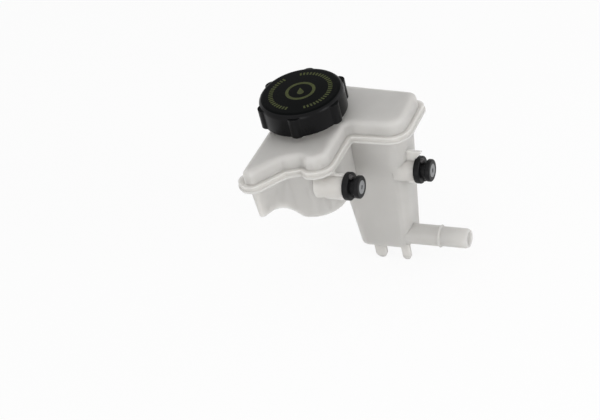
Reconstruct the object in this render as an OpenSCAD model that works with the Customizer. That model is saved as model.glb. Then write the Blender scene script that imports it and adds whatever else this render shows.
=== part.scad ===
// Power steering reservoir: a two-shell plastic tank with a screw cap, two rubber
// mounting grommets, a suction spigot at the foot of its sump and a return nipple at the back.
// The origin is the middle of the front grommet's groove, on the peg's axis.
// +Z is up along the filler neck, and +X is the way that the pegs and the spigot point.

/* [Tank plan] */
// Left wall, from the front ear's centre
wall_left = -2; // [-5:0.5:1]
// Right wall
wall_right = 101; // [98:0.5:106]
// Right wall of the filler side
filler_right = 57; // [57:0.5:60]
// Back wall at its right end
wall_back = 108; // [105:0.5:114]
// How much further back the back wall's left end lies
back_slant = 8; // [4:0.5:10]
// Front face of the pointed nose at the left
nose_front = -7; // [-9:0.5:-5]
// Width of the nose's front face
nose_w = 9; // [8:0.5:11]
// Front end of the slanting wall, where the recess starts
slant_front = 13.5; // [12:0.5:15]
// Left side of the recess in the front
recess_left = 23.5; // [22:0.5:25]
// Right side of the recess
recess_right = 42; // [40:0.5:42.5]
// Depth of the recess
recess_depth = 4; // [3:0.5:4.5]
// Length of the recess's sloping right side
recess_side = 4.5; // [4:0.5:5.5]
// Front face of the filler side, right of the recess
lobe_front = 15; // [13:0.5:17]
// Front wall of the outlet side
outlet_front = 63; // [60:0.5:65]
// Corner radius of the nose and the recess
small_r = 4; // [3:0.5:5]
// Corner radius at the back
back_r = 8; // [6:0.5:12]
// Corner radius of the two front corners at the right
front_r = 12.5; // [10:0.5:13]
// Corner radius of the inner corner between filler side and outlet side
inner_r = 6; // [5:0.5:8]

/* [Lower shell's plan] */
// Left wall of the lower shell, inside the upper one's
lower_in = 3; // [2.5:0.5:6]
// Where the lower shell's left wall and slanting wall would meet, in front of its round nose
lower_tip = 20; // [17:0.5:22]
// Where the slanting wall ends, from the front ear's centre
lower_step = 18; // [16:0.5:20]
// Radius of the hollow where the slanting wall ends
lower_step_r = 12; // [8:0.5:16]
// Radius of the lower shell's right front corner
lower_lobe_r = 26; // [20:0.5:27]
// Back wall of the lower shell, in front of the upper one's
lower_back_in = 3; // [2:0.5:5]

/* [Shells] */
// Wall thickness
wall_t = 2.4; // [2:0.1:3]
// Height of the top face above the weld
top_h = 15; // [12:0.5:20]
// Radius along the top edge
top_r = 4; // [3.5:0.1:4.5]
// Slope of the walls for the mould, in degrees
draft = 2.5; // [1:0.5:4]
// Depth of the floor at the nose, below the weld
nose_depth = 28.5; // [26:0.5:31]
// Depth of the filler side's floor, below the weld
floor_depth = 45.5; // [40:0.5:50]
// Where the ramp of the floor starts, from the front ear's centre
ramp_start = 11.5; // [8:0.5:14]
// Length of the ramp
ramp_l = 18; // [14:0.5:22]
// Radius along the lower edges
floor_r = 4; // [3.5:0.1:5]

/* [Weld flange] */
// How far the flange stands out from the walls
flange_w = 3.8; // [3:0.1:5]
// Thickness of the upper shell's flange
upper_flange_t = 3.6; // [2.5:0.1:4]
// Thickness of the lower shell's flange
lower_flange_t = 1.8; // [1.6:0.1:3]
// How much smaller the upper flange is all round
flange_step = 0.6; // [0.3:0.1:1]
// Radius of the two round ears
ear_r = 9; // [8:0.5:10]
// Back ear, from the front ear's centre along X
ear_x = 96; // [92:0.5:100]
// Back ear, from the front ear's centre along Y
ear_y = 103; // [99:0.5:107]

/* [Sump] */
// Depth of the sump below the weld
sump_depth = 112; // [104:1:120]
// Left wall at the sump's floor
sump_left = 43.5; // [41:0.5:46]
// Right wall at the sump's floor
sump_right = 86; // [83:0.5:89]
// Back wall at the sump's floor
sump_back = 97; // [92:0.5:99]
// Slope of the sump's front wall, in degrees
sump_front_draft = 1.2; // [0.5:0.1:1.8]
// Slope of the sump's right wall, in degrees
sump_right_draft = 7; // [5:0.5:7.5]
// Slope of the sump's back wall, in degrees
sump_back_draft = 4; // [2:0.5:4.5]
// Slope of the sump's left wall, in degrees
sump_left_draft = 5; // [3:0.5:6]
// Corner radius of the sump
sump_r = 7; // [5:0.5:9]
// Thickness of the two tongues below the sump
tongue_t = 3; // [2:0.5:4]
// Length of the tongues
tongue_l = 11; // [8:0.5:13]
// How far the tongues stand behind the sump's front face
tongue_in = 1; // [0.5:0.5:3]
// Width of the left tongue
left_tongue_w = 9.5; // [8:0.5:11]
// Width of the right tongue
right_tongue_w = 7; // [6:0.5:9]
// Left tongue, from the sump's left wall to the tongue's middle
left_tongue_in = 16.5; // [14:0.5:18]
// Right tongue, from the sump's right wall to the tongue's middle
right_tongue_in = 4; // [3.5:0.5:8]

/* [Suction spigot] */
// Outer diameter
spigot_d = 16; // [14:0.1:18]
// Bore
spigot_bore = 12; // [10:0.1:13]
// End of the spigot, from the sump's right wall at its floor
spigot_l = 49.5; // [44:0.5:60]
// Axis above the sump's floor
spigot_up = 10.5; // [10:0.5:14]
// Axis behind the sump's front wall
spigot_in = 9; // [9:0.5:12]
// Bead, from the spigot's end
bead_back = 23.5; // [20:0.5:30]
// Height of the bead
bead_h = 1.3; // [0.8:0.1:1.6]
// Half the length of the bead
bead_half = 1.4; // [1:0.1:2]
// Length of the tapered tip
tip_l = 2.5; // [2:0.1:4]
// How much the tip narrows in radius
tip_h = 1; // [0.5:0.1:1.5]
// How much thicker spigot and nipple are behind their bead, in radius
root_step = 0.4; // [0.2:0.1:0.8]

/* [Return nipple] */
// Outer diameter
nipple_d = 10; // [8:0.1:11]
// Bore
nipple_bore = 6.5; // [5:0.1:7]
// How far it stands out of the back wall
nipple_l = 24; // [20:0.5:28]
// Bead, from the back wall
nipple_bead = 9; // [7:0.5:12]
// Axis along X, from the front ear's centre
nipple_x = 24; // [18:0.5:30]
// Axis below the weld
nipple_down = 19; // [16:0.5:22]

/* [Pegs] */
// Front peg, groove middle right of the filler side's wall
front_peg_out = 16.5; // [15:0.5:19]
// Front peg along Y
peg_y = 23.5; // [22:0.5:25]
// Front peg below the weld
peg_down = 15; // [14:0.5:17]
// Back peg, groove middle right of the sump's wall at its floor
back_peg_out = 23.5; // [22:0.5:26]
// Back peg, from the front peg along Y
back_peg_dy = 50.5; // [48:0.5:53]
// Back peg below the front peg
back_peg_down = 20; // [17:0.5:23]
// Diameter of the peg
peg_d = 9; // [8:0.1:10]
// Diameter of the peg's round head
peg_head_d = 10.4; // [9.5:0.1:11.5]
// Thickness of the head
peg_head_t = 1.4; // [1:0.1:2]
// Diameter of the boss behind the grommet
boss_d = 17; // [15:0.5:19]
// Diameter of the boss at its root
boss_root_d = 21; // [20:0.5:24]
// Thickness of the ribs on the boss
rib_t = 2.4; // [2:0.1:3]
// Reach of the upright rib above the peg's axis
rib_up = 15; // [14:0.5:16]
// Reach of the rib below the axis
rib_down = 13; // [12:0.5:15]
// How far the rib's two ends reach past the grommet's back face
rib_over = 7; // [5:0.5:8]
// Radius of the dimple in the peg's end
dimple_r = 1.8; // [1:0.1:2.5]

/* [Grommets] */
// Diameter of the flange at the tank
grommet_back_d = 21.7; // [20:0.1:24]
// Thickness of the flange at the tank
grommet_back_t = 5; // [4:0.5:6]
// Diameter of the outer flange
grommet_front_d = 17.6; // [16:0.1:19]
// Thickness of the outer flange
grommet_front_t = 4; // [3:0.5:5]
// Diameter at the bottom of the groove
groove_d = 13.4; // [12:0.1:15]
// Width of the groove
groove_w = 3.6; // [3:0.1:5]
// Radius of the round edges
grommet_r = 1.2; // [0.8:0.1:1.5]
// Diameter of the two round cushions in the groove, above and below the peg
cushion_d = 4.2; // [3:0.1:5]
// Clearance of the grommet on its peg, in radius
grommet_gap = 0.05; // [0.02:0.01:0.1]

/* [Filler neck] */
// Neck's axis along X, from the front ear's centre
neck_x = 23.5; // [22:0.5:26]
// Neck's axis along Y
neck_y = 66; // [62:0.5:70]
// Outer diameter of the neck
neck_d = 50; // [46:0.5:50]
// Wall of the neck
neck_t = 2.2; // [1.8:0.1:3]
// Height of the neck above the top face
neck_h = 18; // [16:0.5:20]

/* [Cap] */
// Diameter of the cap's body
cap_d = 66.4; // [64:0.2:70]
// Height of the cap
cap_h = 19; // [18:0.5:21]
// Wall of the cap's outer skirt
cap_wall = 2.2; // [1.8:0.1:3]
// Wall of the threaded inner skirt
inner_wall = 1.8; // [1.5:0.1:2]
// Room for the thread between neck and inner skirt, in radius
thread_room = 2; // [1.8:0.1:2.2]
// How far the inner skirt ends above the outer one
inner_up = 3; // [2:0.5:5]
// Thickness of the cap's top
cap_top = 2.4; // [2:0.1:3]
// Radius of the cap's upper edge
cap_edge_r = 2; // [1:0.1:3]
// Number of grip lobes
lobes = 6; // [4:1:8]
// Width of a grip lobe
lobe_w = 11; // [9:0.5:13]
// How far a lobe stands out
lobe_h = 2.4; // [1.5:0.1:2.8]
// How far the lobes end below the cap's top
lobe_down = 1.2; // [0.8:0.1:1.5]
// Turn of the first lobe, in degrees
lobe_turn = 42; // [0:1:59]
// Diameter of the socket under the cap's top
socket_d = 13; // [12:0.5:15]
// Length of the socket
socket_l = 4; // [3:0.5:5]

/* [Cap insert] */
// Diameter of the stub that turns in the socket
stub_d = 8; // [7:0.5:9]
// Running clearance of the stub, in radius
stub_gap = 0.05; // [0.02:0.01:0.1]
// Thickness of the insert's plate
plate_t = 2; // [1.6:0.1:2.4]
// Depth of the plug in the neck, below the plate
plug_l = 7; // [5:0.5:9]
// Wall of the plug
plug_t = 1.8; // [1.4:0.1:2.4]
// Clearance between plug and neck, in radius
plug_gap = 0.3; // [0.2:0.05:0.5]
// Clearance between parts that pass each other
free_gap = 0.3; // [0.2:0.05:0.5]
// Thickness of the sealing ring
seal_t = 1.8; // [1.4:0.1:2.4]
// Clearance under the sealing ring
seal_gap = 0.1; // [0.05:0.05:0.2]
// Width of the sealing ring
seal_w = 2; // [1.6:0.1:2.2]
// Distance of the vent valve from the cap's axis
valve_r = 15; // [12:0.5:17]
// Diameter of the vent valve's dome
valve_d = 9; // [7:0.5:10]
// Thickness of the valve's dome, and length of its barb
valve_t = 1.6; // [1.2:0.1:2]
// Diameter of the valve's stem
stem_d = 3; // [2:0.1:4]
// Diameter of the barb above the stem
barb_d = 4.8; // [4.2:0.1:5.5]

/* [Strainer] */
// Length of the strainer inside the sump
strainer_l = 24; // [18:0.5:28]
// Length of its collar in the spigot's bore
collar_l = 7; // [5:0.5:10]
// Wall of the strainer's frame
frame_t = 1.2; // [1:0.1:1.6]
// Thickness of the mesh
mesh_t = 0.4; // [0.3:0.1:0.6]
// Number of bars round the strainer
bars = 4; // [3:1:6]

/* [Hidden] */
$fn = 64;
// Flats in a plan corner and in a rounded edge
corner_steps = 5;
edge_steps = 4;
// How far joined pieces and cutting tools reach past a face
lap = 1;
small_step = 0.2;
// Least radius that an inset plan corner keeps
least_r = 0.8;
// The filler side's floor is cut this far above its block's lowest face
floor_cut = 0.15;
white = [0.86, 0.87, 0.85];
black = [0.08, 0.08, 0.09];
rubber = [0.12, 0.12, 0.12];
natural = [0.8, 0.78, 0.7];

// Levels above the weld
neck_top = top_h + neck_h;
seal_z = neck_top + seal_gap;
rim_z = seal_z + seal_t;
cap_under = rim_z + plate_t + free_gap;
cap_z = cap_under + cap_top - cap_h;
cup_floor = neck_top - plug_l;

// Radii about the neck's axis
neck_r = neck_d / 2;
bore_r = neck_r - neck_t;
plug_r = bore_r - plug_gap;
inner_skirt_r = neck_r + thread_room;
rim_r = inner_skirt_r - free_gap;
cap_r = cap_d / 2;

// Stations along a peg, from the middle of the grommet's groove
grommet_back = -groove_w / 2 - grommet_back_t;
grommet_front = groove_w / 2 + grommet_front_t;

// Groove middles of the two pegs in the tank's frame
peg_x = filler_right + front_peg_out;
front_peg = [peg_x, peg_y, -peg_down];
back_peg = [sump_right + back_peg_out, peg_y + back_peg_dy, -peg_down - back_peg_down];

// Places of the sump's parts
sump_front = outlet_front + sump_depth * tan(sump_front_draft);
spigot_y = sump_front + spigot_in;
spigot_z = spigot_up - sump_depth;
spigot_end = sump_right + spigot_l;
spigot_root = sump_right - sump_r - lap;
bead_x = spigot_end - bead_back;
strainer_x = sump_right - wall_t;
nipple_root = 2 * wall_t;

// Plan corners of the upper shell: place and radius, counterclockwise from the nose
plan = [
    [wall_left, nose_front, small_r],
    [wall_left + nose_w, nose_front, small_r],
    [recess_left, slant_front, small_r],
    [recess_right - recess_side, lobe_front + recess_depth, small_r],
    [recess_right, lobe_front, small_r],
    [filler_right, lobe_front, front_r],
    [filler_right, outlet_front, inner_r],
    [wall_right, outlet_front, front_r],
    [wall_right, wall_back, back_r],
    [wall_left, wall_back + back_slant, back_r]
];

// Plan corners of the lower shell's filler side
lower_left = wall_left + lower_in;
filler_plan = [
    [lower_left, -lower_tip, small_r],
    [lower_step, lobe_front, lower_step_r],
    [filler_right, lobe_front, lower_lobe_r],
    [filler_right, lower_back(filler_right), back_r],
    [lower_left, lower_back(lower_left), back_r]
];

// Plan corners of the sump at its floor
sump_plan = [
    [sump_left, sump_front, sump_r],
    [sump_right, sump_front, sump_r],
    [sump_right, sump_back, sump_r],
    [sump_left, sump_back, sump_r]
];
sump_slopes = [tan(sump_front_draft), tan(sump_right_draft), tan(sump_back_draft),
    tan(sump_left_draft)];

// Back wall of the lower shell's filler side at a place along X
function lower_back(x) =
    wall_back + back_slant * (wall_right - x) / (wall_right - wall_left) - lower_back_in;

// A place in the plan that sees every wall
tank_middle = [filler_right - 20, outlet_front + 15];

function before(list, i) = list[(i + len(list) - 1) % len(list)];
function after(list, i) = list[(i + 1) % len(list)];
function flat(p) = [p.x, p.y];
function heading(a, b) = (flat(b) - flat(a)) / norm(flat(b) - flat(a));
function inward(a, b) = let(u = heading(a, b)) [-u.y, u.x];

// Corner i of an outline when the wall before it moves in by a and the wall after it by b
function moved(list, i, a, b) =
    let(n = inward(before(list, i), list[i]), m = inward(list[i], after(list, i)), c = n * m)
    flat(list[i]) + (n * (a - b * c) + m * (b - a * c)) / (1 - c * c);

// Radius of corner i when its walls move in by d: outer corners tighten, inner ones widen
function new_radius(list, i, d) =
    let(u = heading(before(list, i), list[i]), v = heading(list[i], after(list, i)))
    max(least_r, list[i][2] - d * sign(cross(u, v)));

// Outline with each wall moved in by its own share of the list "ins"
function inset(list, ins) = [for (i = [0:len(list) - 1])
    let(a = before(ins, i), b = ins[i])
    concat(moved(list, i, a, b), new_radius(list, i, (a + b) / 2))];
function evenly(list, d) = [for (corner = list) d];

// Points of an outline with every corner rounded
function rounded(list) = [for (i = [0:len(list) - 1])
    let(
        n = inward(before(list, i), list[i]),
        m = inward(list[i], after(list, i)),
        turn = atan2(cross(n, m), n * m),
        r = list[i][2] * sign(turn),
        centre = flat(list[i]) + r * (n + m) / (1 + n * m)
    )
    for (k = [0:corner_steps])
        let(a = turn * k / corner_steps)
        centre - r * [n.x * cos(a) - n.y * sin(a), n.x * sin(a) + n.y * cos(a)]];

function ring(list, z) = [for (p = rounded(list)) [p.x, p.y, z]];

// Solid through rings of equally many points, from the lowest up. Both end faces are fans about
// the point "middle", which sees the whole outline.
module loft(rings, middle) {
    n = len(rings[0]);
    last = len(rings) - 1;
    sides = [for (k = [0:last - 1], i = [0:n - 1])
        let(j = (i + 1) % n) [k * n + i, (k + 1) * n + i, (k + 1) * n + j, k * n + j]];
    low = (last + 1) * n;
    bottom = [for (i = [0:n - 1]) [low, i, (i + 1) % n]];
    top = [for (i = [0:n - 1]) [low + 1, last * n + (i + 1) % n, last * n + i]];
    ends = [for (k = [0, last]) [middle.x, middle.y, rings[k][0].z]];
    polyhedron(concat([for (r = rings) each r], ends), concat(sides, bottom, top), convexity = 10);
}

// Rings of a drafted block from the weld's side up to h, with a rounded far edge. "way" is 1 for
// a block that stands and -1 for one that hangs.
function block_rings(list, start, h, r, skin, way) =
    let(slope = tan(draft))
    concat(
        [ring(inset(list, evenly(list, skin + start * slope)), way * start)],
        [for (k = [0:edge_steps])
            let(a = 90 * k / edge_steps, d = skin + (h - r) * slope + r * (1 - cos(a)))
            ring(inset(list, evenly(list, d)), way * (h - r + r * sin(a)))]);

module standing_block(start, h, r, skin) {
    loft(block_rings(plan, start, h, r, skin, 1), tank_middle);
}

// The sump's block from its floor up to level "to", drafted wall by wall
module sump_block(floor_z, to, r, skin) {
    function ins(z, d) = [for (s = sump_slopes) skin + d - (z + sump_depth) * s];
    loft(concat(
        [for (k = [edge_steps:-1:0])
            let(a = 90 * k / edge_steps)
            ring(inset(sump_plan, ins(floor_z + r, r * (1 - cos(a)))), floor_z + r * (1 - sin(a)))],
        [ring(inset(sump_plan, ins(to, 0)), to)]), (flat(sump_plan[0]) + flat(sump_plan[2])) / 2);
}

// Filler side of the lower shell: "skin" inside its outer face, its floor ramped down to the sump
module filler_block(start, r, skin) {
    far = 200;
    deep = skin - floor_depth;
    shallow = skin - nose_depth;
    rings = block_rings(filler_plan, start, floor_cut - deep, r, skin, -1);
    difference() {
        loft([for (k = [len(rings) - 1:-1:0]) rings[k]], tank_middle);
        translate([0, far, 0]) rotate([90, 0, 0]) linear_extrude(2 * far)
            polygon([[-far, shallow], [ramp_start, shallow], [ramp_start + ramp_l, deep],
                [far, deep], [far, deep - lap], [-far, deep - lap]]);
    }
}

// Plate of thickness t that reaches "out" past the walls, with its two round ears
module flange(t, out) {
    linear_extrude(t) polygon(rounded(inset(plan, evenly(plan, -out))));
    for (ear = [[0, 0], [ear_x, ear_y]])
        translate(ear) cylinder(h = t, r = ear_r - flange_w + out);
}

// Puts its children at a place of the tank's frame and turns their +Z to the pegs' direction
module along_x(place) { translate(place) rotate([0, 90, 0]) children(); }

// Moves the tank's frame, whose origin is the front ear's centre on the weld, to the part's frame
module tank_frame() { translate([-peg_x, -peg_y, peg_down]) children(); }

// Boss, upright rib, peg and head; "root" is how far the boss reaches back from the groove
module peg(place, root) {
    boss_l = grommet_back + root;
    along_x(place) {
        translate([0, 0, -root]) cylinder(h = boss_l, d1 = boss_root_d, d2 = boss_d);
        difference() {
            translate([-rib_up, -rib_t / 2, -root]) cube([rib_up + rib_down, rib_t, boss_l + rib_over]);
            translate([0, 0, grommet_back]) cylinder(h = rib_over + lap, r = grommet_back_d / 2 + free_gap);
        }
        translate([0, 0, grommet_back - lap]) cylinder(h = grommet_front - grommet_back + lap, d = peg_d);
        translate([0, 0, grommet_front - peg_head_t]) cylinder(h = peg_head_t, d = peg_head_d);
    }
}

// Flat tongue with a round end, below the sump's front wall; "x" is its middle
module tongue(x, w) {
    translate([x, sump_front + tongue_in + tongue_t, -sump_depth]) rotate([90, 0, 0])
        linear_extrude(tongue_t) polygon(rounded([
            [-w / 2, -tongue_l, w / 2 - small_step], [w / 2, -tongue_l, w / 2 - small_step],
            [w / 2, floor_r, small_step], [-w / 2, floor_r, small_step]]));
}

// Tube with a bead and a tapered tip, from 0 up to l along +Z
module hose_end(l, d, bead) {
    r = d / 2;
    rotate_extrude() polygon([[0, 0], [r + root_step, 0], [r + root_step, bead - bead_half],
        [r + bead_h, bead], [r, bead + bead_half], [r, l - tip_l], [r - tip_h, l], [0, l]]);
}

// Outside of the lower shell without its fittings
module lower_body() {
    union() {
        translate([0, 0, -lower_flange_t]) flange(lower_flange_t, flange_w);
        filler_block(lower_flange_t / 2, floor_r, 0);
    }
    sump_block(-sump_depth, -lower_flange_t / 2, floor_r, 0);
}

module spigot_frame() { along_x([spigot_root, spigot_y, spigot_z]) children(); }

module nipple_frame() {
    translate([nipple_x, lower_back(nipple_x) - nipple_root, -nipple_down]) rotate([-90, 0, 0])
        children();
}

module lower_shell() color(white) tank_frame() difference() {
    union() {
        lower_body();
        peg(front_peg, front_peg_out + lower_lobe_r / 2);
        peg(back_peg, back_peg_out);
        tongue(sump_left + left_tongue_in, left_tongue_w);
        tongue(sump_right - right_tongue_in, right_tongue_w);
        spigot_frame() hose_end(spigot_end - spigot_root, spigot_d, bead_x - spigot_root);
        nipple_frame() hose_end(nipple_l + nipple_root, nipple_d, nipple_bead + nipple_root);
    }
    filler_block(-lap, floor_r - wall_t, wall_t);
    sump_block(wall_t - sump_depth, lap, floor_r - wall_t, wall_t);
    spigot_frame() cylinder(h = spigot_end - spigot_root + lap, d = spigot_bore);
    nipple_frame() translate([0, 0, -lap]) cylinder(h = nipple_l + nipple_root + 2 * lap, d = nipple_bore);
    for (place = [front_peg, back_peg])
        along_x(place + [grommet_front - dimple_r / 2, 0, 0]) cylinder(h = dimple_r, r = dimple_r);
}

module upper_shell() color(white) tank_frame() difference() {
    union() {
        flange(upper_flange_t, flange_w - flange_step);
        standing_block(upper_flange_t / 2, top_h, top_r, 0);
        translate([neck_x, neck_y, upper_flange_t / 2])
            cylinder(h = neck_top - upper_flange_t / 2, r = neck_r);
    }
    standing_block(-lap, top_h - wall_t, top_r - wall_t, wall_t);
    translate([neck_x, neck_y, -lap]) cylinder(h = neck_top + 2 * lap, r = bore_r);
}

module at_neck(z) { tank_frame() translate([neck_x, neck_y, z]) children(); }

module cap_shell() color(black) at_neck(cap_z) {
    inner_l = cap_h - cap_top - inner_up;
    difference() {
        union() {
            rotate_extrude() {
                square([cap_r, cap_h - cap_edge_r]);
                square([cap_r - cap_edge_r, cap_h]);
                translate([cap_r - cap_edge_r, cap_h - cap_edge_r]) circle(r = cap_edge_r);
            }
            for (k = [0:lobes - 1]) rotate(lobe_turn + 360 * k / lobes)
                translate([cap_r - lobe_w / 2 + lobe_h, 0, 0]) cylinder(h = cap_h - lobe_down, d = lobe_w);
        }
        translate([0, 0, -lap]) cylinder(h = cap_h - cap_top + lap, r = cap_r - cap_wall);
    }
    translate([0, 0, inner_up]) difference() {
        cylinder(h = inner_l + lap, r = inner_skirt_r + inner_wall);
        translate([0, 0, -lap]) cylinder(h = inner_l + lap, r = inner_skirt_r);
    }
    translate([0, 0, cap_under - cap_z - socket_l]) difference() {
        cylinder(h = socket_l + lap, d = socket_d);
        translate([0, 0, -lap]) cylinder(h = socket_l + lap, d = stub_d + 2 * stub_gap);
    }
}

module cap_insert() color(black) at_neck(0) difference() {
    union() {
        translate([0, 0, rim_z]) cylinder(h = plate_t, r = rim_r);
        translate([0, 0, cup_floor]) cylinder(h = rim_z - cup_floor + lap, r = plug_r);
    }
    difference() {
        translate([0, 0, cup_floor + plug_t]) cylinder(h = cap_under, r = plug_r - plug_t);
        translate([0, 0, cup_floor]) cylinder(h = cap_under - free_gap - cup_floor, d = stub_d);
    }
    translate([valve_r, 0, cup_floor - lap]) cylinder(h = plug_t + 2 * lap, d = stem_d + 2 * stub_gap);
}

module cap_seal() color(rubber) at_neck(seal_z)
    rotate_extrude() translate([neck_r - seal_w, 0]) square([seal_w, seal_t]);

module vent_valve() color(rubber) at_neck(cup_floor) translate([valve_r, 0, 0]) {
    gap = stub_gap;
    barb_top = plug_t + 2 * valve_t;
    rotate_extrude() polygon([[0, -valve_t - gap], [valve_d / 4, -valve_t - gap],
        [valve_d / 2, -valve_t / 2], [valve_d / 2, -gap], [stem_d / 2, -gap],
        [stem_d / 2, plug_t + gap], [barb_d / 2, plug_t + gap], [stem_d / 3, barb_top], [0, barb_top]]);
}

// Profile of a flange with two round edges, from "start" along the axis
module flange_profile(start, l, out) {
    r = grommet_r;
    translate([0, start]) square([out - r, l]);
    translate([0, start + r]) square([out, l - 2 * r]);
    for (y = [start + r, start + l - r])
        translate([out - r, y]) circle(r = r);
}

module grommet(place) color(rubber) along_x(place) difference() {
    union() {
        rotate_extrude() {
            flange_profile(grommet_back, grommet_back_t, grommet_back_d / 2);
            flange_profile(groove_w / 2, grommet_front_t, grommet_front_d / 2);
            translate([0, grommet_back + grommet_r])
                square([groove_d / 2, grommet_front - grommet_back - 2 * grommet_r]);
        }
        for (side = [-1, 1])
            translate([side * (groove_d + grommet_back_d) / 4, 0, -groove_w / 2]) sphere(d = cushion_d);
    }
    translate([0, 0, grommet_back - lap])
        cylinder(h = grommet_front - grommet_back + 2 * lap, r = peg_d / 2 + grommet_gap);
    translate([0, 0, grommet_front - peg_head_t - grommet_gap])
        cylinder(h = peg_head_t + lap, r = peg_head_d / 2 + grommet_gap);
}

module front_grommet() tank_frame() grommet(front_peg);
module back_grommet() tank_frame() grommet(back_peg);

// Strainer, along the spigot's axis: a collar in the bore and a caged, closed finger in the sump
module strainer_frame() color(natural) tank_frame() {
    r = spigot_bore / 2 - stub_gap;
    window_l = strainer_l - 3 * frame_t;
    along_x([strainer_x - strainer_l, spigot_y, spigot_z]) difference() {
        cylinder(h = strainer_l + collar_l, r = r);
        translate([0, 0, frame_t]) cylinder(h = strainer_l + collar_l, r = r - frame_t);
        for (k = [0:bars - 1]) rotate(360 * k / bars)
            translate([0, 0, 2 * frame_t])
                linear_extrude(window_l) polygon([[0, 0], [2 * r, -r], [2 * r, r]]);
    }
}

module strainer_mesh() color(natural) tank_frame() {
    r = spigot_bore / 2 - stub_gap - frame_t - stub_gap;
    along_x([strainer_x - strainer_l + frame_t + stub_gap, spigot_y, spigot_z]) difference() {
        cylinder(h = strainer_l, r = r);
        translate([0, 0, -lap]) cylinder(h = strainer_l + 2 * lap, r = r - mesh_t);
    }
}

lower_shell();
upper_shell();
cap_shell();
cap_insert();
cap_seal();
vent_valve();
front_grommet();
back_grommet();
strainer_frame();
strainer_mesh();
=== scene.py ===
import math

import bmesh
import bpy
from mathutils import Matrix, Vector


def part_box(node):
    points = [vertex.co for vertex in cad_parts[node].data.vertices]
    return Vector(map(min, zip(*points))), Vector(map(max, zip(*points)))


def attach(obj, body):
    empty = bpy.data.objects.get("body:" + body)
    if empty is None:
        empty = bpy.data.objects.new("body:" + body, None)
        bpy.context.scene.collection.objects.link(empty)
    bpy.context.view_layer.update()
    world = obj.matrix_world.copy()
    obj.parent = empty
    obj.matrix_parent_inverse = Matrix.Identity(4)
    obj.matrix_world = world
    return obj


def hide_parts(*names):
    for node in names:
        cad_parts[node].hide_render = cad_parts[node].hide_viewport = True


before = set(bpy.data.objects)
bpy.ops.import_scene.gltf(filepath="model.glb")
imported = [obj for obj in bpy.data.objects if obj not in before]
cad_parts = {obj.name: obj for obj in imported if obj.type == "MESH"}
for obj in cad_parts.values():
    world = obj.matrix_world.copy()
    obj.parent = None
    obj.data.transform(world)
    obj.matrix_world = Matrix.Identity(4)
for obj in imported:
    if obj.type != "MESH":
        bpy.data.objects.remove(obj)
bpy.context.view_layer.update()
scene = bpy.context.scene
MM = 0.001

# Camera, lamps and floor. The camera stands where the photograph's stood: in front, to the right
# and above, a little rolled. Four wide soft lamps light the part, most from the front and the
# right, and the pale floor keeps a little of its shadow.
scene.view_settings.view_transform = "Standard"

camera_data = bpy.data.cameras.new("camera")
camera_data.sensor_fit = "HORIZONTAL"
camera_data.sensor_width = 36
camera_data.lens = 84
camera_data.clip_start, camera_data.clip_end = 0.05, 50
camera = bpy.data.objects.new("camera", camera_data)
scene.collection.objects.link(camera)
right = Vector((0.903, 0.375, -0.2095)).normalized()
back = Vector((0.4219, -0.6822, 0.5971)).normalized()
up = back.cross(right).normalized()
right = up.cross(back)
camera.matrix_world = Matrix((
    (right.x, up.x, back.x, 0.4054),
    (right.y, up.y, back.y, -0.7392),
    (right.z, up.z, back.z, 0.6190),
    (0, 0, 0, 1)))
scene.camera = camera

LIT_PLACE = Vector((0.0, 0.04, -0.02))
LAMPS = {
    "lamp_top": ((-0.25, -0.15, 0.95), 0.9, 0.9, 1.0),
    "lamp_right": ((0.95, -0.15, 0.4), 0.3, 0.4, 2.4),
    "lamp_front": ((0.1, -1.0, 0.15), 0.8, 0.6, 3.8),
    "lamp_back": ((0.9, 0.7, 0.35), 0.8, 0.5, 1.2),
}
for name, (place, width, height, power) in LAMPS.items():
    data = bpy.data.lights.new(name, "AREA")
    data.shape = "RECTANGLE"
    data.size, data.size_y, data.energy = width, height, power
    lamp = bpy.data.objects.new(name, data)
    scene.collection.objects.link(lamp)
    turn = (LIT_PLACE - Vector(place)).to_track_quat("-Z", "Y").to_matrix().to_4x4()
    lamp.matrix_world = Matrix.Translation(place) @ turn


def white_for_camera(tree, shader, output, share):
    """Shows plain white to the camera by a share, and the shader itself to everything else."""
    path = tree.nodes.new("ShaderNodeLightPath")
    seen = path.outputs["Is Camera Ray"]
    for ray in ("Is Glossy Ray", "Is Transmission Ray"):
        either = tree.nodes.new("ShaderNodeMath")
        either.operation = "MAXIMUM"
        tree.links.new(seen, either.inputs[0])
        tree.links.new(path.outputs[ray], either.inputs[1])
        seen = either.outputs[0]
    scaled = tree.nodes.new("ShaderNodeMath")
    scaled.operation = "MULTIPLY"
    scaled.inputs[1].default_value = share
    tree.links.new(seen, scaled.inputs[0])
    is_world = output.bl_idname == "ShaderNodeOutputWorld"
    plain = tree.nodes.new("ShaderNodeBackground" if is_world else "ShaderNodeEmission")
    plain.inputs["Color"].default_value = (1, 1, 1, 1)
    plain.inputs["Strength"].default_value = 1
    mix = tree.nodes.new("ShaderNodeMixShader")
    tree.links.new(scaled.outputs[0], mix.inputs[0])
    tree.links.new(shader.outputs[0], mix.inputs[1])
    tree.links.new(plain.outputs[0], mix.inputs[2])
    tree.links.new(mix.outputs[0], output.inputs["Surface"])


world = bpy.data.worlds.new("studio")
scene.world = world
world.use_nodes = True
tree = world.node_tree
tree.nodes.clear()
ambient = tree.nodes.new("ShaderNodeBackground")
ambient.inputs["Color"].default_value = (1, 1, 1, 1)
ambient.inputs["Strength"].default_value = 0.7
white_for_camera(tree, ambient, tree.nodes.new("ShaderNodeOutputWorld"), 1.0)

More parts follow.
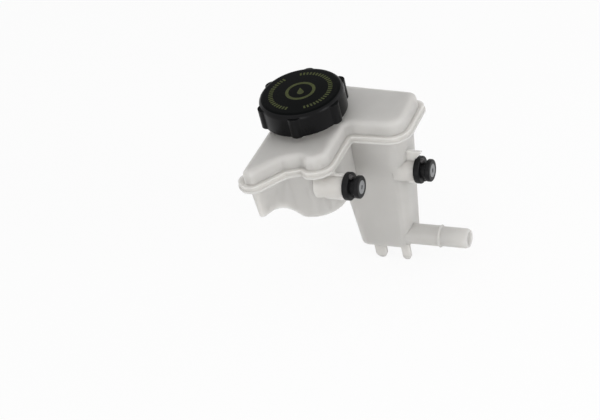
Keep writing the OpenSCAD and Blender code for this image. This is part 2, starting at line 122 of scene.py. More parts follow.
FLOOR_Z = -108.5 * MM
FLOOR_HALF = 4
floor_mesh = bpy.data.meshes.new("floor")
floor_mesh.from_pydata([(x * FLOOR_HALF, y * FLOOR_HALF, FLOOR_Z) for x, y in ((-1, -1), (1, -1), (1, 1), (-1, 1))],
                       [], [(0, 1, 2, 3)])
floor = bpy.data.objects.new("floor", floor_mesh)
scene.collection.objects.link(floor)
floor_paint = bpy.data.materials.new("floor_paint")
floor_paint.use_nodes = True
tree = floor_paint.node_tree
tree.nodes.clear()
diffuse = tree.nodes.new("ShaderNodeBsdfDiffuse")
diffuse.inputs["Color"].default_value = (0.85, 0.85, 0.85, 1)
white_for_camera(tree, diffuse, tree.nodes.new("ShaderNodeOutputMaterial"), 0.9)
floor.data.materials.append(floor_paint)

# Tank: two shells of milky polypropylene, injection moulded with a satin face, whose flanges are
# welded together. The filler neck is part of the upper shell. Spigot, return nipple, pegs, ribs
# and tongues are part of the lower one.


SMOOTH_DEG = 32


def smooth(mesh):
    """Shades a mesh smooth, apart from its sharp edges."""
    for poly in mesh.polygons:
        poly.use_smooth = True
    mesh.set_sharp_from_angle(angle=math.radians(SMOOTH_DEG))


def copy_of(node, name):
    """A closed, smooth copy of a CAD node."""
    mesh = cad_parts[node].data.copy()
    mesh.name = name
    mesh.materials.clear()
    work = bmesh.new()
    work.from_mesh(mesh)
    bmesh.ops.remove_doubles(work, verts=work.verts, dist=2e-6)
    bmesh.ops.dissolve_degenerate(work, edges=work.edges, dist=1e-6)
    work.to_mesh(mesh)
    work.free()
    for key in ("custom_normal", "UVMap"):
        if key in mesh.attributes:
            mesh.attributes.remove(mesh.attributes[key])
    smooth(mesh)
    obj = bpy.data.objects.new(name, mesh)
    scene.collection.objects.link(obj)
    return obj


def skin_of(node, name, body):
    """A copy of a CAD node that stands for it in the picture."""
    obj = copy_of(node, name)
    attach(obj, body)
    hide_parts(node)
    return obj


def cloud_group():
    """Node group: a cloudy mask between 0 and 1 from Object coordinates."""
    group = bpy.data.node_groups.new("moulded_cloud", "ShaderNodeTree")
    for name, value in (("Scale", 35.0), ("Detail", 3.0), ("Low", 0.35), ("High", 0.65)):
        socket = group.interface.new_socket(name, in_out="INPUT", socket_type="NodeSocketFloat")
        socket.default_value = value
    group.interface.new_socket("Mask", in_out="OUTPUT", socket_type="NodeSocketFloat")
    nodes, links = group.nodes, group.links
    given = nodes.new("NodeGroupInput")
    place = nodes.new("ShaderNodeTexCoord")
    noise = nodes.new("ShaderNodeTexNoise")
    spread = nodes.new("ShaderNodeMapRange")
    out = nodes.new("NodeGroupOutput")
    links.new(place.outputs["Object"], noise.inputs["Vector"])
    links.new(given.outputs["Scale"], noise.inputs["Scale"])
    links.new(given.outputs["Detail"], noise.inputs["Detail"])
    links.new(noise.outputs["Fac"], spread.inputs["Value"])
    links.new(given.outputs["Low"], spread.inputs["From Min"])
    links.new(given.outputs["High"], spread.inputs["From Max"])
    links.new(spread.outputs["Result"], out.inputs["Mask"])
    return group


moulded_cloud = cloud_group()


def plastic(name, colour, rough, shine=0.5, cloud=0.0, cloud_scale=35.0, grain=0.0, grain_scale=1500.0,
            glow=0.0, glow_depth=0.004, edge=0.0):
    """Moulded plastic or rubber: faint clouds in colour and gloss, fine grain, rounded edges."""
    mat = bpy.data.materials.new(name)
    mat.use_nodes = True
    nodes, links = mat.node_tree.nodes, mat.node_tree.links
    shader = nodes["Principled BSDF"]
    shader.inputs["Base Color"].default_value = (*colour, 1)
    shader.inputs["Roughness"].default_value = rough
    shader.inputs["IOR"].default_value = 1.49
    shader.inputs["Specular IOR Level"].default_value = shine
    if glow:
        shader.inputs["Subsurface Weight"].default_value = glow
        shader.inputs["Subsurface Radius"].default_value = (1.0, 1.0, 1.0)
        shader.inputs["Subsurface Scale"].default_value = glow_depth

    def mask(scale, detail, low, high):
        group = nodes.new("ShaderNodeGroup")
        group.node_tree = moulded_cloud
        for key, value in (("Scale", scale), ("Detail", detail), ("Low", low), ("High", high)):
            group.inputs[key].default_value = value
        return group.outputs["Mask"]

    if cloud:
        haze = mask(cloud_scale, 3, 0.35, 0.65)
        mix = nodes.new("ShaderNodeMix")
        mix.data_type = "RGBA"
        mix.inputs["A"].default_value = (*[c * (1 - cloud) for c in colour], 1)
        mix.inputs["B"].default_value = (*[min(1, c * (1 + cloud)) for c in colour], 1)
        links.new(haze, mix.inputs["Factor"])
        links.new(mix.outputs["Result"], shader.inputs["Base Color"])
        gloss = nodes.new("ShaderNodeMapRange")
        gloss.inputs["To Min"].default_value = rough * 0.9
        gloss.inputs["To Max"].default_value = rough * 1.1
        links.new(haze, gloss.inputs["Value"])
        links.new(gloss.outputs["Result"], shader.inputs["Roughness"])
    normal = None
    if edge:
        soft = nodes.new("ShaderNodeBevel")
        soft.samples = 8
        soft.inputs["Radius"].default_value = edge
        normal = soft.outputs["Normal"]
    if grain:
        bump = nodes.new("ShaderNodeBump")
        bump.inputs["Strength"].default_value = grain
        bump.inputs["Distance"].default_value = 0.1 * MM
        links.new(mask(grain_scale, 2, 0.2, 0.8), bump.inputs["Height"])
        if normal:
            links.new(normal, bump.inputs["Normal"])
        normal = bump.outputs["Normal"]
    if normal:
        links.new(normal, shader.inputs["Normal"])
    return mat


TANK_COLOUR = (0.56, 0.545, 0.52)
tank_paint = plastic("tank_plastic", TANK_COLOUR, 0.42, shine=0.35, cloud=0.03, grain=0.1, glow=1.0,
                     glow_depth=0.012, edge=1.3 * MM)
tank = copy_of("lower_shell", "tank_skin")
lid = copy_of("upper_shell", "lid_skin")


def slab(name, outlines, y_low, y_high):
    """Closed plates that stand along Y, each from an outline of (x, z) points in millimetres."""
    work = bmesh.new()
    for outline in outlines:
        near, far = [[work.verts.new(Vector((x, y, z)) * MM) for x, z in outline] for y in (y_low, y_high)]
        work.faces.new(near)
        work.faces.new(far[::-1])
        for i in range(len(near)):
            j = (i + 1) % len(near)
            work.faces.new((near[j], near[i], far[i], far[j]))
    bmesh.ops.recalc_face_normals(work, faces=work.faces)
    mesh = bpy.data.meshes.new(name)
    work.to_mesh(mesh)
    work.free()
    obj = bpy.data.objects.new(name, mesh)
    scene.collection.objects.link(obj)
    return obj


def box_outline(x_low, x_high, z_low, z_high):
    return [(x_low, z_low), (x_high, z_low), (x_high, z_high), (x_low, z_high)]


# The ribs on the pegs' bosses end behind the grommets, and the back peg has a gusset above it
RIB_Y, BACK_PEG = 1.4, (36, 50.5, -20)
front_ends = slab("front_rib_ends", [box_outline(-13.4, 1.5, 10.9, 15.05), box_outline(-6.9, 1.5, -13.3, -10.9)],
                  -RIB_Y, RIB_Y)
back_ends = slab("back_rib_ends", [box_outline(29.1, 37.5, -9.1, -4.9), box_outline(29.1, 37.5, -33.3, -30.9)],
                 BACK_PEG[1] - RIB_Y, BACK_PEG[1] + RIB_Y)
gusset = slab("gusset", [[(14, -8.8), (30.4, -8.8), (35.7, -2.9), (35.4, -2.4), (14, -1.6)]],
              BACK_PEG[1] - 1.3, BACK_PEG[1] + 1.3)
for other, how in ((lid, "UNION"), (front_ends, "DIFFERENCE"), (back_ends, "DIFFERENCE"), (gusset, "UNION")):
    join = tank.modifiers.new(other.name, "BOOLEAN")
    join.operation, join.solver, join.object = how, "EXACT", other
view = bpy.context.evaluated_depsgraph_get()
tank.data = bpy.data.meshes.new_from_object(tank.evaluated_get(view))
tank.modifiers.clear()
for other in (lid, front_ends, back_ends, gusset):
    bpy.data.objects.remove(other)
tank.data.materials.clear()
tank.data.materials.append(tank_paint)
work = bmesh.new()
work.from_mesh(tank.data)
bmesh.ops.triangulate(work, faces=work.faces)
bmesh.ops.remove_doubles(work, verts=work.verts, dist=0.02 * MM)
bmesh.ops.dissolve_degenerate(work, edges=work.edges, dist=0.002 * MM)
bmesh.ops.holes_fill(work, edges=[e for e in work.edges if e.is_boundary], sides=4)
work.to_mesh(tank.data)
work.free()
for poly in tank.data.polygons:
    poly.material_index = 0
smooth(tank.data)
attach(tank, "tank")
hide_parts("lower_shell", "upper_shell")

# Peg heads: the pegs' round ends, in the same plastic. Each sits deep in black rubber, so less
# light reaches it through the plastic; that shade is painted into its colour, a darker grey than the walls.
PEG_HEADS = ((4.4 * MM, Vector((0, 0, 0))), (40.4 * MM, Vector((0, 50.5, -20)) * MM))
PEG_HEAD_R = 5.25 * MM
head_painted_shade = plastic("peg_head_painted_shade", (0.2, 0.205, 0.21), 0.4, shine=0.4, cloud=0.08, cloud_scale=300, grain=0.1,
                     edge=0.4 * MM)
tank.data.materials.append(head_painted_shade)
for poly in tank.data.polygons:
    for start, middle in PEG_HEADS:
        off = poly.center - middle
        if poly.center.x > start and math.hypot(off.y, off.z) < PEG_HEAD_R:
            poly.material_index = 1

# Weld bead: the flanges are melted on a hot plate and pressed together, which squeezes a thin,
# slightly uneven bead of plastic out of the joint, all round and over both ears.


def start_tree(name, inputs):
    """New Geometry Nodes tree with named inputs and one geometry output."""
    tree = bpy.data.node_groups.new(name, "GeometryNodeTree")
    tree.interface.new_socket("Geometry", in_out="INPUT", socket_type="NodeSocketGeometry")
    for label, kind in inputs:
        tree.interface.new_socket(label, in_out="INPUT", socket_type="NodeSocket" + kind)
    tree.interface.new_socket("Geometry", in_out="OUTPUT", socket_type="NodeSocketGeometry")
    return tree, tree.nodes.new("NodeGroupInput"), tree.nodes.new("NodeGroupOutput")


def finish_tree(tree, given, out, shape, smooth=True):
    """Ends a tree in smooth shading, Realize Instances and Set Material."""
    real = tree.nodes.new("GeometryNodeRealizeInstances")
    shade = tree.nodes.new("GeometryNodeSetShadeSmooth")
    shade.inputs["Shade Smooth"].default_value = smooth
    coat = tree.nodes.new("GeometryNodeSetMaterial")
    tree.links.new(shape, real.inputs[0])
    tree.links.new(real.outputs[0], shade.inputs["Geometry"])
    tree.links.new(shade.outputs[0], coat.inputs["Geometry"])
    tree.links.new(given.outputs["Material"], coat.inputs["Material"])
    tree.links.new(coat.outputs[0], out.inputs["Geometry"])


def maths(tree, operation, a, b=None):
    """A Math node; a and b are sockets or numbers."""
    node = tree.nodes.new("ShaderNodeMath")
    node.operation = operation
    for slot, value in zip(node.inputs, (a, b)):
        if isinstance(value, (int, float)):
            slot.default_value = value
        elif value is not None:
            tree.links.new(value, slot)
    return node.outputs[0]


def grown(name, tree, settings, body, path=None):
    """Runs a tree, by default on an empty mesh, and keeps the result as a plain mesh."""
    base = bpy.data.objects.new(name + "_base", path or bpy.data.meshes.new(name + "_base"))
    scene.collection.objects.link(base)
    step = base.modifiers.new("grow", "NODES")
    step.node_group = tree
    for item in tree.interface.items_tree:
        if item.item_type == "SOCKET" and item.in_out == "INPUT" and item.name in settings:
            step[item.identifier] = settings[item.name]
    view = bpy.context.evaluated_depsgraph_get()
    mesh = bpy.data.meshes.new_from_object(base.evaluated_get(view))
    mesh.name = name
    base.modifiers.remove(step)
    bpy.data.objects.remove(base)
    obj = bpy.data.objects.new(name, mesh)
    scene.collection.objects.link(obj)
    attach(obj, body)
    return obj


def weld_outline(node, level):
    """The outer outline of a CAD node's flat face at a level, as a mesh of edges."""
    work = bmesh.new()
    work.from_mesh(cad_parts[node].data)
    bmesh.ops.remove_doubles(work, verts=work.verts, dist=2e-6)
    rim = {}
    for edge in work.edges:
        if len(edge.link_faces) == 2 and all(abs(v.co.z - level) < 1e-5 for v in edge.verts):
            flat = [f for f in edge.link_faces if abs(f.normal.z) > 0.99]
            if len(flat) == 1:
                a, b = edge.verts
                rim.setdefault(a.index, []).append(b.index)
                rim.setdefault(b.index, []).append(a.index)
    places = {v.index: v.co.copy() for v in work.verts if v.index in rim}
    work.free()
    loops, left = [], set(rim)
    while left:
        here = min(left)
        loop = [here]
        left.discard(here)
        while True:
            onward = [i for i in rim[loop[-1]] if i in left]
            if not onward:
                break
            loop.append(onward[0])
            left.discard(onward[0])
        loops.append(loop)

    def reach(loop):
        return sum((places[a] - places[b]).length for a, b in zip(loop, loop[1:] + loop[:1]))

    outer = max(loops, key=reach)
    mesh = bpy.data.meshes.new("weld_outline")
    count = len(outer)
    mesh.from_pydata([places[i] for i in outer], [(i, (i + 1) % count) for i in range(count)], [])
    return mesh


def bead_tree():
    tree, given, out = start_tree("weld_bead", (("Bead", "Float"), ("Wander", "Float"), ("Lift", "Float"),
                                                ("Material", "Material")))
    nodes, links = tree.nodes, tree.links
    curve = nodes.new("GeometryNodeMeshToCurve")
    links.new(given.outputs["Geometry"], curve.inputs[0])
    even = nodes.new("GeometryNodeResampleCurve")
    even.mode = "LENGTH"
    even.inputs["Length"].default_value = 1.0 * MM
    links.new(curve.outputs[0], even.inputs["Curve"])
    noise = nodes.new("ShaderNodeTexNoise")
    noise.inputs["Scale"].default_value = 260
    noise.inputs["Detail"].default_value = 2
    middle = nodes.new("ShaderNodeVectorMath")
    middle.operation = "SUBTRACT"
    middle.inputs[1].default_value = (0.5, 0.5, 0.5)
    links.new(noise.outputs["Color"], middle.inputs[0])
    sway = nodes.new("ShaderNodeVectorMath")
    sway.operation = "SCALE"
    links.new(middle.outputs[0], sway.inputs[0])
    links.new(given.outputs["Wander"], sway.inputs["Scale"])
    lift = nodes.new("ShaderNodeCombineXYZ")
    links.new(given.outputs["Lift"], lift.inputs["Z"])
    total = nodes.new("ShaderNodeVectorMath")
    links.new(sway.outputs[0], total.inputs[0])
    links.new(lift.outputs[0], total.inputs[1])
    move = nodes.new("GeometryNodeSetPosition")
    links.new(even.outputs[0], move.inputs["Geometry"])
    links.new(total.outputs[0], move.inputs["Offset"])
    thick = nodes.new("GeometryNodeSetCurveRadius")
    links.new(move.outputs[0], thick.inputs["Curve"])
    swell = maths(tree, "MULTIPLY_ADD", noise.outputs["Fac"], 0.8)
    swell.node.inputs[2].default_value = 0.6
    links.new(swell, thick.inputs["Radius"])
    ring = nodes.new("GeometryNodeCurvePrimitiveCircle")
    ring.inputs["Resolution"].default_value = 8
    links.new(given.outputs["Bead"], ring.inputs["Radius"])
    tube = nodes.new("GeometryNodeCurveToMesh")
    links.new(thick.outputs[0], tube.inputs["Curve"])
    links.new(ring.outputs[0], tube.inputs["Profile Curve"])
    finish_tree(tree, given, out, tube.outputs[0])
    return tree


WELD_Z = 15 * MM
bead_paint = plastic("bead_plastic", TANK_COLOUR, 0.42, shine=0.35)
grown("weld_bead", bead_tree(), {"Bead": 0.22 * MM, "Wander": 0.1 * MM, "Lift": 0.0, "Material": bead_paint},
      "tank", weld_outline("upper_shell", WELD_Z))

# Filler neck's thread: a low round-edged ridge moulded on the neck, right-handed, 6 mm a turn. It
# is covered by the cap and shows when the cap is off. The cap's own thread runs half a pitch off.
NECK = Vector((-50, 42.5, 0)) * MM
THREAD_LEAD = 6 * MM
NECK_R = 25 * MM


def thread_tree():
    tree, given, out = start_tree("screw_thread", (("Place", "Vector"), ("Radius", "Float"), ("Height", "Float"),
                                                   ("Lead", "Float"), ("Start", "Float"), ("Depth", "Float"),
                                                   ("Width", "Float"), ("Side", "Float"),
                                                   ("Material", "Material")))
    nodes, links = tree.nodes, tree.links
    helix = nodes.new("GeometryNodeCurveSpiral")
    helix.inputs["Resolution"].default_value = 72
    helix.inputs["Reverse"].default_value = True
    links.new(maths(tree, "DIVIDE", given.outputs["Height"], given.outputs["Lead"]), helix.inputs["Rotations"])
    links.new(given.outputs["Radius"], helix.inputs["Start Radius"])
    links.new(given.outputs["Radius"], helix.inputs["End Radius"])
    links.new(given.outputs["Height"], helix.inputs["Height"])
    upright = nodes.new("GeometryNodeSetCurveNormal")
    upright.mode = "Z_UP"
    links.new(helix.outputs[0], upright.inputs["Curve"])
    along = nodes.new("GeometryNodeSplineParameter")
    from_end = maths(tree, "MINIMUM", along.outputs["Factor"], maths(tree, "SUBTRACT", 1, along.outputs["Factor"]))
    run_in = maths(tree, "MINIMUM", maths(tree, "MULTIPLY_ADD", from_end, 16), 1)
    run_in.node.inputs[0].links[0].from_node.inputs[2].default_value = 0.08
    thick = nodes.new("GeometryNodeSetCurveRadius")
    links.new(upright.outputs[0], thick.inputs["Curve"])
    links.new(run_in, thick.inputs["Radius"])
    ridge = nodes.new("GeometryNodeCurvePrimitiveQuadrilateral")
    ridge.mode = "TRAPEZOID"
    links.new(given.outputs["Depth"], ridge.inputs["Height"])
    links.new(given.outputs["Width"], ridge.inputs["Bottom Width"])
    links.new(maths(tree, "MULTIPLY", given.outputs["Width"], 0.5), ridge.inputs["Top Width"])
    ridge.inputs["Offset"].default_value = 0
    # The ridge stands outwards where "Side" is 1 and inwards where it is -1
    foot = nodes.new("ShaderNodeCombineXYZ")
    links.new(maths(tree, "MULTIPLY", maths(tree, "MULTIPLY", given.outputs["Depth"], 0.5), given.outputs["Side"]),
              foot.inputs["X"])
    quarter = nodes.new("ShaderNodeCombineXYZ")
    links.new(maths(tree, "MULTIPLY", given.outputs["Side"], -math.pi / 2), quarter.inputs["Z"])
    lay = nodes.new("GeometryNodeTransform")
    links.new(quarter.outputs[0], lay.inputs["Rotation"])
    links.new(ridge.outputs[0], lay.inputs["Geometry"])
    links.new(foot.outputs[0], lay.inputs["Translation"])
    tube = nodes.new("GeometryNodeCurveToMesh")
    tube.inputs["Fill Caps"].default_value = True
    links.new(thick.outputs[0], tube.inputs["Curve"])
    links.new(lay.outputs[0], tube.inputs["Profile Curve"])
    turn = nodes.new("ShaderNodeCombineXYZ")
    links.new(given.outputs["Start"], turn.inputs["Z"])
    put = nodes.new("GeometryNodeTransform")
    links.new(tube.outputs[0], put.inputs["Geometry"])
    links.new(given.outputs["Place"], put.inputs["Translation"])
    links.new(turn.outputs[0], put.inputs["Rotation"])
    finish_tree(tree, given, out, put.outputs[0], smooth=False)
    return tree


screw_thread = thread_tree()
NECK_THREAD_Z = 33 * MM
THREAD_ROOT = 0.3 * MM
THREAD_DEPTH = 1.8 * MM
THREAD_WIDTH = 2.0 * MM
grown("neck_thread", screw_thread,
      {"Place": NECK + Vector((0, 0, NECK_THREAD_Z)), "Radius": NECK_R - THREAD_ROOT, "Height": 12.5 * MM,
       "Lead": THREAD_LEAD, "Start": 0.0, "Depth": THREAD_DEPTH, "Width": THREAD_WIDTH, "Side": 1.0,
       "Material": tank_paint}, "tank")

# Cap: one black moulding of glass-filled nylon with six grip lobes. Its inner skirt carries the
# thread, and it turns on the insert's stub. The skirt has a satin face, and the top a smooth one.
CAP_TOP = 54.6 * MM
cap_paint = plastic("cap_plastic", (0.003, 0.003, 0.0034), 0.3, shine=0.13, cloud=0.12, grain=0.2, grain_scale=2500,
                    edge=1.0 * MM)
top_paint = plastic("cap_top_plastic", (0.0025, 0.003, 0.003), 0.25, shine=0.02, cloud=0.12, grain=0.1,
                    grain_scale=2500, edge=1.0 * MM)
cap = skin_of("cap_shell", "cap_body", "cap")
cap.data.materials.append(cap_paint)
cap.data.materials.append(top_paint)
# The solid's shoulder is rounded by 2 mm. The real one's is rounder, and its lobes end below it.
CAP_R, PLAIN_SHOULDER, SHOULDER = 33.2 * MM, 2 * MM, 4.6 * MM
LOBE_TOP = CAP_TOP - 1.2 * MM
lobe_angle = math.asin((LOBE_TOP - CAP_TOP + PLAIN_SHOULDER) / PLAIN_SHOULDER)
new_lobe_top = CAP_TOP - SHOULDER * (1 - math.sin(lobe_angle))
for vert in cap.data.vertices:
    off = Vector((vert.co.x - NECK.x, vert.co.y - NECK.y, 0))
    across, along = off.length - (CAP_R - PLAIN_SHOULDER), vert.co.z - (CAP_TOP - PLAIN_SHOULDER)
    if off.length > CAP_R + 0.02 * MM:
        if abs(vert.co.z - LOBE_TOP) < 0.02 * MM:
            vert.co.z = new_lobe_top
    elif across > -0.02 * MM and along > -0.02 * MM:
        angle = math.atan2(along, across)
        reach = CAP_R - SHOULDER * (1 - math.cos(angle))
        vert.co = off.normalized() * reach + Vector((NECK.x, NECK.y, CAP_TOP - SHOULDER * (1 - math.sin(angle))))
smooth(cap.data)
for poly in cap.data.polygons:
    if poly.center.z > CAP_TOP - SHOULDER and poly.normal.z > 0.85:
        poly.material_index = 1
CAP_SKIRT_R = 27 * MM
CAP_THREAD_Z = 40.2 * MM
cap_thread_start = math.tau * ((CAP_THREAD_Z - NECK_THREAD_Z) / THREAD_LEAD - 0.5)
grown("cap_thread", screw_thread,
      {"Place": NECK + Vector((0, 0, CAP_THREAD_Z)), "Radius": CAP_SKIRT_R + THREAD_ROOT, "Height": 7.5 * MM,
       "Lead": THREAD_LEAD, "Start": cap_thread_start, "Depth": THREAD_DEPTH, "Width": THREAD_WIDTH, "Side": -1.0,
       "Material": cap_paint}, "cap")

# Print on the cap's top: olive pad-printed ink, laid on as a thin film. Plain bars in two arcs, a
# plain ring and a drop stand in for the words and the mark of the real one.
INK_T = 0.08 * MM
ink = plastic("olive_ink", (0.042, 0.05, 0.013), 0.45, shine=0.1, cloud=0.2, cloud_scale=300)


def bars_tree():
    tree, given, out = start_tree("arc_of_bars", (("Place", "Vector"), ("Radius", "Float"), ("Count", "Int"),
                                                  ("From", "Float"), ("Step", "Float"), ("Bar", "Vector"),
                                                  ("Material", "Material")))
    nodes, links = tree.nodes, tree.links
    row = nodes.new("GeometryNodeMeshLine")
    links.new(given.outputs["Count"], row.inputs["Count"])
    index = nodes.new("GeometryNodeInputIndex")
    angle = maths(tree, "MULTIPLY", index.outputs[0], given.outputs["Step"])
    angle = maths(tree, "ADD", angle, given.outputs["From"])
    spot = nodes.new("ShaderNodeCombineXYZ")
    links.new(maths(tree, "MULTIPLY", maths(tree, "COSINE", angle), given.outputs["Radius"]), spot.inputs["X"])
    links.new(maths(tree, "MULTIPLY", maths(tree, "SINE", angle), given.outputs["Radius"]), spot.inputs["Y"])
    on_arc = nodes.new("GeometryNodeSetPosition")
    links.new(row.outputs[0], on_arc.inputs["Geometry"])
    links.new(spot.outputs[0], on_arc.inputs["Position"])
    bar = nodes.new("GeometryNodeMeshCube")
    links.new(given.outputs["Bar"], bar.inputs["Size"])
    turn = nodes.new("ShaderNodeCombineXYZ")
    links.new(angle, turn.inputs["Z"])
    each = nodes.new("GeometryNodeInstanceOnPoints")
    links.new(on_arc.outputs[0], each.inputs["Points"])
    links.new(bar.outputs["Mesh"], each.inputs["Instance"])
    links.new(turn.outputs[0], each.inputs["Rotation"])
    put = nodes.new("GeometryNodeTransform")
    links.new(each.outputs[0], put.inputs["Geometry"])
    links.new(given.outputs["Place"], put.inputs["Translation"])
    finish_tree(tree, given, out, put.outputs[0], smooth=False)
    return tree


arc_of_bars = bars_tree()
BAR_STEP = 6.6
for name, first, last in (("left_arc", 146, 270), ("right_arc", -60, 118)):
    grown(name, arc_of_bars,
          {"Place": NECK + Vector((0, 0, CAP_TOP)), "Radius": 23.3 * MM, "Count": int((last - first) / BAR_STEP) + 1,
           "From": math.radians(first), "Step": math.radians(BAR_STEP),
           "Bar": (3.4 * MM, 1.5 * MM, INK_T), "Material": ink}, "cap")


def film(name, outer, hole=()):
    """Thin closed plate of ink with an outline, and a hole of equally many points or none."""
    work = bmesh.new()
    lift = Vector((0, 0, INK_T / 2))
    middle = NECK + Vector((0, 0, CAP_TOP))
    rims = [[work.verts.new(middle + Vector((x * MM, y * MM, 0)) + side * lift) for x, y in line]
            for side in (-1, 1) for line in (outer, hole)]
    low, low_hole, high, high_hole = rims
    count = len(outer)
    for i in range(count):
        j = (i + 1) % count
        work.faces.new((low[i], low[j], high[j], high[i]))
        if hole:
            work.faces.new((low_hole[j], low_hole[i], high_hole[i], high_hole[j]))
            work.faces.new((high[i], high[j], high_hole[j], high_hole[i]))
            work.faces.new((low[j], low[i], low_hole[i], low_hole[j]))
    if not hole:
        work.faces.new(high)
        work.faces.new(low[::-1])
    mesh = bpy.data.meshes.new(name)
    work.to_mesh(mesh)
    work.free()
    mesh.materials.append(ink)
    obj = bpy.data.objects.new(name, mesh)
    scene.collection.objects.link(obj)
    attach(obj, "cap")


def circle(r, count=96):
    return [(r * math.cos(math.tau * k / count), r * math.sin(math.tau * k / count)) for k in range(count)]


film("printed_ring", circle(11.8), circle(9.3))
DROP_R, DROP_TIP, DROP_TURN = 2.6, 6.6, math.radians(115)
half = math.acos(DROP_R / DROP_TIP)
drop = [(DROP_TIP, 0)] + [(DROP_R * math.cos(a), DROP_R * math.sin(a))
                          for a in [half + (math.tau - 2 * half) * k / 32 for k in range(33)]]
shift = (DROP_TIP - DROP_R) / 2
film("printed_drop", [((x - shift) * math.cos(DROP_TURN) - y * math.sin(DROP_TURN),
                       (x - shift) * math.sin(DROP_TURN) + y * math.cos(DROP_TURN)) for x, y in drop])

# Cap insert: the black plate and plug that close the neck. The cap turns on its stub and lifts it.
insert = skin_of("cap_insert", "insert_plate", "insert")
insert.data.materials.append(cap_paint)

# Rubber pieces: the two mounting grommets on their pegs, the sealing ring under the insert's
# plate and the vent valve pulled through the plug's floor. All are moulded black rubber.
rubber_paint = plastic("rubber", (0.006, 0.006, 0.0065), 0.4, shine=0.14, cloud=0.15, grain=0.2, edge=0.2 * MM)
# The nubs on the grommets' flanges get a lighter grey colour than the rubber: a painted highlight on their rounded
# tips.
cushion_painted_highlight = plastic("cushion_rubber_painted_highlight", (0.04, 0.037, 0.038), 0.35, shine=0.3, cloud=0.15, grain=0.1)
CUSHION_R = 2.15 * MM
CUSHIONS = [(Vector(peg) + Vector((-1.8, 0, side * 8.775))) * MM for peg in ((0, 0, 0), BACK_PEG) for side in (-1, 1)]
for node, name, body, slot in (("front_grommet", "front_bush", "tank", "grommet_rubber"),
                               ("back_grommet", "back_bush", "tank", "grommet_rubber"),
                               ("cap_seal", "seal_ring", "insert", "soft_rubber"),
                               ("vent_valve", "valve_body", "insert", "soft_rubber")):
    bush = skin_of(node, name, body)
    bush.data.materials.append(rubber_paint)
    bush.data.materials.append(cushion_painted_highlight)
    for poly in bush.data.polygons:
        if any((poly.center - middle).length < CUSHION_R for middle in CUSHIONS):
            poly.material_index = 1

# Strainer: a cage of natural nylon, pushed into the spigot's bore from inside the sump, and a
# woven nylon cloth inside it. The threads of the cloth pass over and under each other.
nylon = plastic("natural_nylon", (0.6, 0.57, 0.48), 0.45, cloud=0.05)
cage = skin_of("strainer_frame", "strainer_cage", "tank")
cage.data.materials.append(nylon)


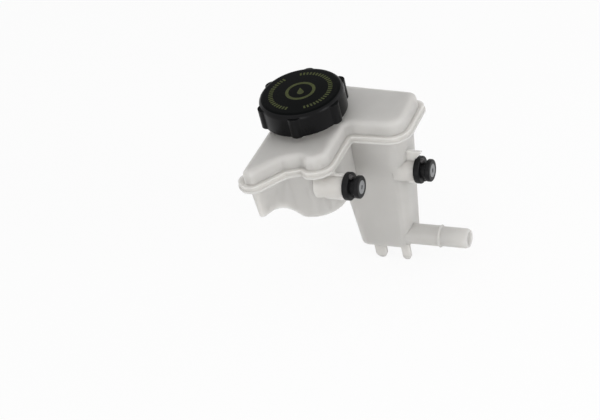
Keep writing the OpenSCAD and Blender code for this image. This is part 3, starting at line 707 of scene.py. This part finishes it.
def woven_tree():
    tree, given, out = start_tree("woven_tube", (("Place", "Vector"), ("Radius", "Float"), ("Length", "Float"),
                                                 ("Pitch", "Float"), ("Threads", "Int"), ("Thread", "Float"),
                                                 ("Material", "Material")))
    nodes, links = tree.nodes, tree.links
    # Lengthwise threads stand on a circle, and the others are circles stacked on a line
    foot = nodes.new("GeometryNodeMeshCircle")
    links.new(given.outputs["Threads"], foot.inputs["Vertices"])
    links.new(given.outputs["Radius"], foot.inputs["Radius"])
    upright = nodes.new("GeometryNodeCurvePrimitiveLine")
    tip = nodes.new("ShaderNodeCombineXYZ")
    links.new(given.outputs["Length"], tip.inputs["Z"])
    links.new(tip.outputs[0], upright.inputs["End"])
    stack = nodes.new("GeometryNodeMeshLine")
    step = nodes.new("ShaderNodeCombineXYZ")
    links.new(given.outputs["Pitch"], step.inputs["Z"])
    links.new(step.outputs[0], stack.inputs["Offset"])
    rows = maths(tree, "FLOOR", maths(tree, "DIVIDE", given.outputs["Length"], given.outputs["Pitch"]))
    links.new(rows, stack.inputs["Count"])
    hoop = nodes.new("GeometryNodeCurvePrimitiveCircle")
    hoop.inputs["Resolution"].default_value = 120
    links.new(given.outputs["Radius"], hoop.inputs["Radius"])
    # Height of the lengthwise threads at each place; the hoops lie as far on the other side
    place = nodes.new("GeometryNodeInputPosition")
    parts = nodes.new("ShaderNodeSeparateXYZ")
    links.new(place.outputs[0], parts.inputs[0])
    rise = maths(tree, "COSINE", maths(tree, "MULTIPLY", maths(tree, "DIVIDE", parts.outputs["Z"],
                                                               given.outputs["Pitch"]), math.pi))
    angle = maths(tree, "ARCTAN2", parts.outputs["Y"], parts.outputs["X"])
    turn = maths(tree, "MULTIPLY", maths(tree, "MULTIPLY", given.outputs["Threads"], 0.5), angle)
    height = maths(tree, "MULTIPLY", maths(tree, "MULTIPLY", rise, maths(tree, "COSINE", turn)), given.outputs["Thread"])
    outward = nodes.new("ShaderNodeVectorMath")
    outward.operation = "MULTIPLY"
    outward.inputs[1].default_value = (1, 1, 0)
    links.new(place.outputs[0], outward.inputs[0])
    unit = nodes.new("ShaderNodeVectorMath")
    unit.operation = "NORMALIZE"
    links.new(outward.outputs[0], unit.inputs[0])
    whole = nodes.new("GeometryNodeJoinGeometry")
    for points, line, side in ((foot, upright, 1), (stack, hoop, -1)):
        each = nodes.new("GeometryNodeInstanceOnPoints")
        links.new(points.outputs[0], each.inputs["Points"])
        links.new(line.outputs[0], each.inputs["Instance"])
        loose = nodes.new("GeometryNodeRealizeInstances")
        links.new(each.outputs[0], loose.inputs[0])
        fine = nodes.new("GeometryNodeResampleCurve")
        fine.mode = "LENGTH"
        links.new(maths(tree, "MULTIPLY", given.outputs["Pitch"], 0.4), fine.inputs["Length"])
        links.new(loose.outputs[0], fine.inputs["Curve"])
        push = nodes.new("ShaderNodeVectorMath")
        push.operation = "SCALE"
        links.new(unit.outputs[0], push.inputs[0])
        links.new(maths(tree, "MULTIPLY", height, side), push.inputs["Scale"])
        wave = nodes.new("GeometryNodeSetPosition")
        links.new(fine.outputs[0], wave.inputs["Geometry"])
        links.new(push.outputs[0], wave.inputs["Offset"])
        ring = nodes.new("GeometryNodeCurvePrimitiveCircle")
        ring.inputs["Resolution"].default_value = 5
        links.new(given.outputs["Thread"], ring.inputs["Radius"])
        tube = nodes.new("GeometryNodeCurveToMesh")
        tube.inputs["Fill Caps"].default_value = True
        links.new(wave.outputs[0], tube.inputs["Curve"])
        links.new(ring.outputs[0], tube.inputs["Profile Curve"])
        links.new(tube.outputs[0], whole.inputs[0])
    put = nodes.new("GeometryNodeTransform")
    put.inputs["Rotation"].default_value = (0, math.radians(90), 0)
    links.new(whole.outputs[0], put.inputs["Geometry"])
    links.new(given.outputs["Place"], put.inputs["Translation"])
    finish_tree(tree, given, out, put.outputs[0])
    return tree


PITCH, THREAD_R = 0.62 * MM, 0.12 * MM
low, high = (Vector(corner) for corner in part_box("strainer_mesh"))
cloth_r = (high.y - low.y) / 2 - 2 * THREAD_R
cloth = grown("strainer_cloth_body", woven_tree(),
              {"Place": Vector((low.x + THREAD_R, (low.y + high.y) / 2, (low.z + high.z) / 2)), "Radius": cloth_r,
               "Length": high.x - low.x - 2 * THREAD_R, "Pitch": PITCH,
               "Threads": 2 * round(math.pi * cloth_r / PITCH), "Thread": THREAD_R, "Material": nylon},
              "tank")
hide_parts("strainer_mesh")
